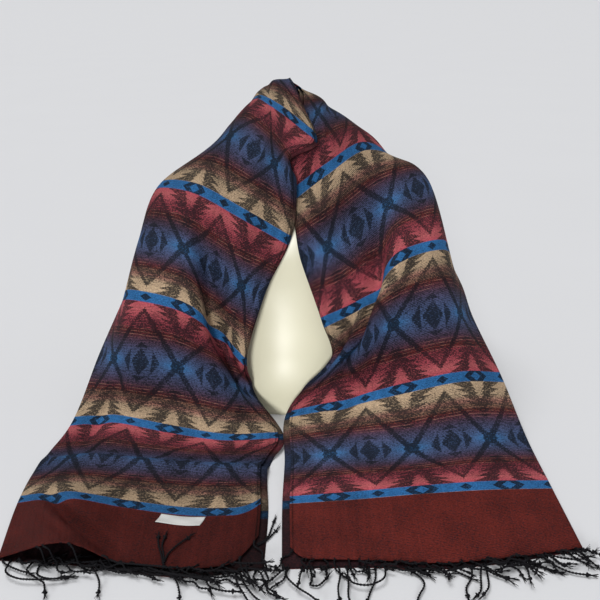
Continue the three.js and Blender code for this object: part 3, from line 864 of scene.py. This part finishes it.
def knotted_strand(path, thick, rng):
    """A twisted strand with a knot near its end and a frayed tuft."""
    f = np.linspace(0, 1, len(path))
    root_swell = 0.3 * np.exp(-(f / 0.06) ** 2)
    knot_swell = 1.15 * np.exp(-((f - KNOT_AT) / 0.03) ** 2)
    swell = (0.8 + knot_swell + root_swell) * np.where(f > TUFT_AT, 0.8, 1)
    parts = [rope(path, thick, TWIST, swell)]
    tip, run = path[-1], path[-1] - path[-5]
    run = run / np.linalg.norm(run)
    for _ in range(TUFT_HAIRS):
        aim = run + rng.normal(0, TUFT_SPREAD, 3)
        hair = tip - run + np.linspace(0, rng.uniform(*TUFT_LENGTH), 5)[:, None] * aim
        hair[:, 2] = np.maximum(hair[:, 2], 0.5)
        parts.append(rope(hair, thick * 0.4, twist=30.0, swell=np.linspace(1, 0.5, 5), sides=4))
    return parts


def fringe_points(end, settings, rng):
    """Every strand at one end of the shawl, with its knot and tuft."""
    hem = 0.0 if end == LEFT_END else CLOTH_LENGTH
    count = settings.strands
    thick = settings.thickness / MM
    parts = []

    def roots_of(layer, across):
        """Where strands leave the upper layer's hem (0) or the lower layer's (1), 1 mm in from it."""
        along = np.full(len(across), hem - end)
        roots = (under_points(along, across, STACK - 0.6) if layer
                 else cloth_points(rounded_corner(along, across), across, 0.6))
        roots[:, 2] = np.maximum(roots[:, 2], thick * 0.55)
        return roots

    for layer in (0, 1):
        shift = 0.3 + 0.4 * layer + rng.uniform(-0.25, 0.25, count)
        across = (np.arange(count) + shift) * FOLDED_WIDTH / count
        for place, root in zip(across, roots_of(layer, across)):
            may_lie_back = layer == 0 and end == LEFT_END and place > LIES_BACK_FROM
            if may_lie_back and rng.random() < LIES_BACK_SHARE:
                continue
            leave, turn_to, differ, curl, showing = next(
                row[2:] for row in LIES[end] if row[0] <= place < row[1])
            length = settings.length / MM * rng.uniform(*LENGTHS) * showing
            path = strand_path(root, length, leave + rng.normal(0, differ), turn_to + rng.normal(0, differ),
                               rng.normal(0, curl), rng, rng.uniform(*PILE) * thick)
            parts += knotted_strand(path, thick, rng)

    for across, places in LOOSE[end]:
        root = roots_of(1, np.array([float(across)]))[0]
        lift = rng.uniform(*LOOSE_PILE) * thick
        path = placed_strand([root, *((x, y, lift) for x, y in places)])
        parts += knotted_strand(path, thick, rng)
    if end == LEFT_END:
        for places in FLIPPED:
            along, across = np.array(places, float).T
            path = placed_strand(cloth_points(along, across, -thick * 0.7))
            parts += knotted_strand(path, thick, rng)
        for places in STICKING_OUT:
            path = placed_strand([(x, y, thick * 0.6) for x, y in places])
            parts += knotted_strand(path, thick, rng)

    points, faces = joined(parts)
    points[:, 2] = np.maximum(points[:, 2], LOWEST)
    return points, faces


def dress_form_points():
    """A smooth half torso through the levels of the table, with a rounded cap on its neck."""
    levels = np.array(FORM_LEVELS, float)
    heights = np.linspace(0, levels[-1, 0], FORM_RINGS)
    half_width, half_depth, centre = smooth_curve(levels[:, 0], levels[:, 1:], heights).T
    angle = np.linspace(0, math.tau, FORM_SIDES, endpoint=False)
    x, y = (np.sign(way) * np.abs(way) ** (2 / FORM_ROUNDNESS) for way in (np.cos(angle), np.sin(angle)))
    points = np.stack([half_width[:, None] * x, centre[:, None] + half_depth[:, None] * y,
                       np.broadcast_to(heights[:, None], (FORM_RINGS, FORM_SIDES))], axis=2)
    faces = [tuple(reversed(face)) for face in grid_faces(FORM_RINGS, FORM_SIDES, around=True)]
    base = tuple(range(FORM_SIDES))
    faces += [base[::-1], tuple(v + (FORM_RINGS - 1) * FORM_SIDES for v in base)]
    return points.reshape(-1, 3), faces


class SHAWL_OT_cloth(bpy.types.Operator):
    """Builds the folded cloth as one continuous piece"""
    bl_idname = "shawl.make_cloth"
    bl_label = "Cloth"

    def execute(self, context):
        settings = context.scene.shawl_cloth
        points, uvs = cloth_rows(settings)
        faces = grid_faces(*points.shape[:2])
        cloth = add_mesh("shawl_cloth", points.reshape(-1, 3), faces, uvs.reshape(-1, 2))
        cloth.data.materials.append(weave_shader("jacquard_weave", settings))
        # the inner faces take the wrong side, painted dark as shade
        cloth.data.materials.append(weave_shader("jacquard_wrong_side", settings, painted_dark_wrong_side=True))
        wall = cloth.modifiers.new("wall", "SOLIDIFY")
        wall.thickness = settings.wall
        wall.offset = -1
        wall.material_offset = 1
        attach(cloth, "root")
        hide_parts("shawl_left_front", "shawl_round_neck", "shawl_right_front")
        return {"FINISHED"}


class SHAWL_OT_fringe(bpy.types.Operator):
    """Builds the twisted strands at both ends"""
    bl_idname = "shawl.make_fringe"
    bl_label = "Fringe"

    def execute(self, context):
        settings = context.scene.shawl_fringe
        yarn = Shader("fringe_yarn", Roughness=0.75, Specular_IOR_Level=0.2)
        fibre = yarn.place_noise(900.0)
        yarn.feed("Base Color", yarn.mix(fibre, shaded(settings.yarn, 0.5), shaded(settings.yarn, 1.7)))
        yarn.bump(fibre, 0.0003, 0.8)
        for end, side, seed in ((LEFT_END, "left", 7), (RIGHT_END, "right", 19)):
            points, faces = fringe_points(end, settings, np.random.default_rng(seed))
            fringe = add_mesh(f"fringe_{side}", points, faces)
            fringe.data.materials.append(yarn.material)
            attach(fringe, "root")
            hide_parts(f"fringe_{side}_upper", f"fringe_{side}_under")
        return {"FINISHED"}


class SHAWL_OT_label(bpy.types.Operator):
    """Builds the small blank label"""
    bl_idname = "shawl.make_label"
    bl_label = "Label"

    def execute(self, context):
        rows = np.linspace(*LABEL_ALONG, LABEL_POINTS[0])
        columns = np.linspace(*LABEL_ACROSS, LABEL_POINTS[1])
        along, across = (a.ravel() for a in np.meshgrid(rows, columns, indexing="ij"))
        across = across + (sum(LABEL_ALONG) / 2 - along) * LABEL_SLANT
        pucker = np.sin(along * 0.35) * np.sin(across * 0.11)
        points = cloth_points(along, across, -(0.7 + 0.5 * pucker))
        label = add_mesh("label_tape", points, grid_faces(*LABEL_POINTS),
                         np.stack([across, along], axis=1) * MM)
        wall = label.modifiers.new("wall", "SOLIDIFY")
        wall.thickness = LABEL_THICKNESS
        tape = Shader("label_satin", Roughness=0.55)
        thread = tape.place_noise(1500.0)
        tape.feed("Base Color", tape.mix(thread, srgb(176, 176, 174), srgb(222, 222, 219)))
        tape.bump(thread, 0.0002, 0.6)
        label.data.materials.append(tape.material)
        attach(label, "root")
        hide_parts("label")
        return {"FINISHED"}


class SHAWL_OT_form(bpy.types.Operator):
    """Builds the smooth dress form"""
    bl_idname = "shawl.make_form"
    bl_label = "Dress form"

    def execute(self, context):
        colour = context.scene.shawl_form.shell
        form = add_mesh("moulded_form", *dress_form_points())
        shell = Shader("moulded_shell", Specular_IOR_Level=0.5)
        cloud = shell.place_noise(14.0, 3.0)
        shell.feed("Base Color", shell.mix(cloud, shaded(colour, 0.93), colour))
        shell.feed("Roughness", 0.2 + cloud * 0.1)
        shell.bump(cloud, 0.0006, 0.3)
        form.data.materials.append(shell.material)
        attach(form, "root")
        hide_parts("dress_form")
        return {"FINISHED"}


def add_soft_light(name, strength, place, spread):
    """A far light of a soft spread in degrees, from the side of `place`."""
    lamp = bpy.data.lights.new(name, "SUN")
    lamp.energy = strength
    lamp.angle = math.radians(spread)
    light = bpy.data.objects.new(name, lamp)
    light.location = place
    light.rotation_euler = (Vector(LIGHTS_AIM) - Vector(place)).to_track_quat("-Z", "Y").to_euler()
    bpy.context.collection.objects.link(light)


class SHAWL_OT_stage(bpy.types.Operator):
    """Builds the floor, the soft lights and the camera"""
    bl_idname = "shawl.make_stage"
    bl_label = "Stage"

    def execute(self, context):
        scene = context.scene
        settings = scene.shawl_stage
        reach = FLOOR_REACH / MM
        corners = [(-reach, -reach, 0), (reach, -reach, 0), (reach, reach, 0), (-reach, reach, 0)]
        floor = add_mesh("floor", corners, [(0, 1, 2, 3)], smooth=False)
        paint = Shader("floor_paint", Roughness=0.85)
        paper = paint.place_noise(3.0)
        paint.feed("Base Color", paint.mix(paper, shaded(settings.floor, 0.98), settings.floor))
        floor.data.materials.append(paint.material)

        scene.world = bpy.data.worlds.new("studio")
        scene.world.use_nodes = True
        background = scene.world.node_tree.nodes["Background"].inputs
        background["Color"].default_value = (1.0, 1.0, 1.0, 1.0)
        background["Strength"].default_value = ROOM_LIGHT
        add_soft_light("front_light", settings.front, FRONT_LIGHT_AT, FRONT_LIGHT_SPREAD)
        add_soft_light("overhead_light", settings.overhead, OVERHEAD_LIGHT_AT, OVERHEAD_LIGHT_SPREAD)

        camera = bpy.data.objects.new("camera", bpy.data.cameras.new("camera"))
        context.collection.objects.link(camera)
        camera.data.lens = CAMERA_LENS
        camera.data.sensor_width = CAMERA_SENSOR
        camera.location = CAMERA_AT
        camera.rotation_euler = (math.radians(CAMERA_TILT), 0, 0)
        scene.camera = camera
        scene.view_settings.view_transform = "Standard"
        return {"FINISHED"}


# ---- The panel, the registering and the run ----

GROUPS = {
    "shawl_cloth": ShawlClothSettings,
    "shawl_fringe": ShawlFringeSettings,
    "shawl_form": ShawlFormSettings,
    "shawl_stage": ShawlStageSettings,
}
PANEL_ROWS = (
    # group of settings, what it makes
    ("shawl_cloth", ("shawl.make_cloth", "shawl.make_label")),
    ("shawl_fringe", ("shawl.make_fringe",)),
    ("shawl_form", ("shawl.make_form",)),
    ("shawl_stage", ("shawl.make_stage",)),
)


class SHAWL_PT_panel(bpy.types.Panel):
    """Lists the sizes, the colours and the makers"""
    bl_label = "Pashmina shawl"
    bl_space_type = "VIEW_3D"
    bl_region_type = "UI"
    bl_category = "Shawl"

    def draw(self, context):
        for group, makers in PANEL_ROWS:
            box = self.layout.box()
            settings = getattr(context.scene, group)
            for key in settings.__annotations__:
                box.prop(settings, key)
            for maker in makers:
                box.operator(maker)


CLASSES = (*GROUPS.values(), SHAWL_OT_cloth, SHAWL_OT_fringe, SHAWL_OT_label, SHAWL_OT_form,
           SHAWL_OT_stage, SHAWL_PT_panel)


def register():
    for cls in CLASSES:
        bpy.utils.register_class(cls)
    for name, group in GROUPS.items():
        setattr(bpy.types.Scene, name, PointerProperty(type=group))


def unregister():
    for name in GROUPS:
        delattr(bpy.types.Scene, name)
    for cls in reversed(CLASSES):
        bpy.utils.unregister_class(cls)


def main():
    register()
    bpy.ops.shawl.make_stage()
    bpy.ops.shawl.make_form()
    bpy.ops.shawl.make_cloth()
    bpy.ops.shawl.make_label()
    bpy.ops.shawl.make_fringe()


if __name__ == "__main__":
    main()
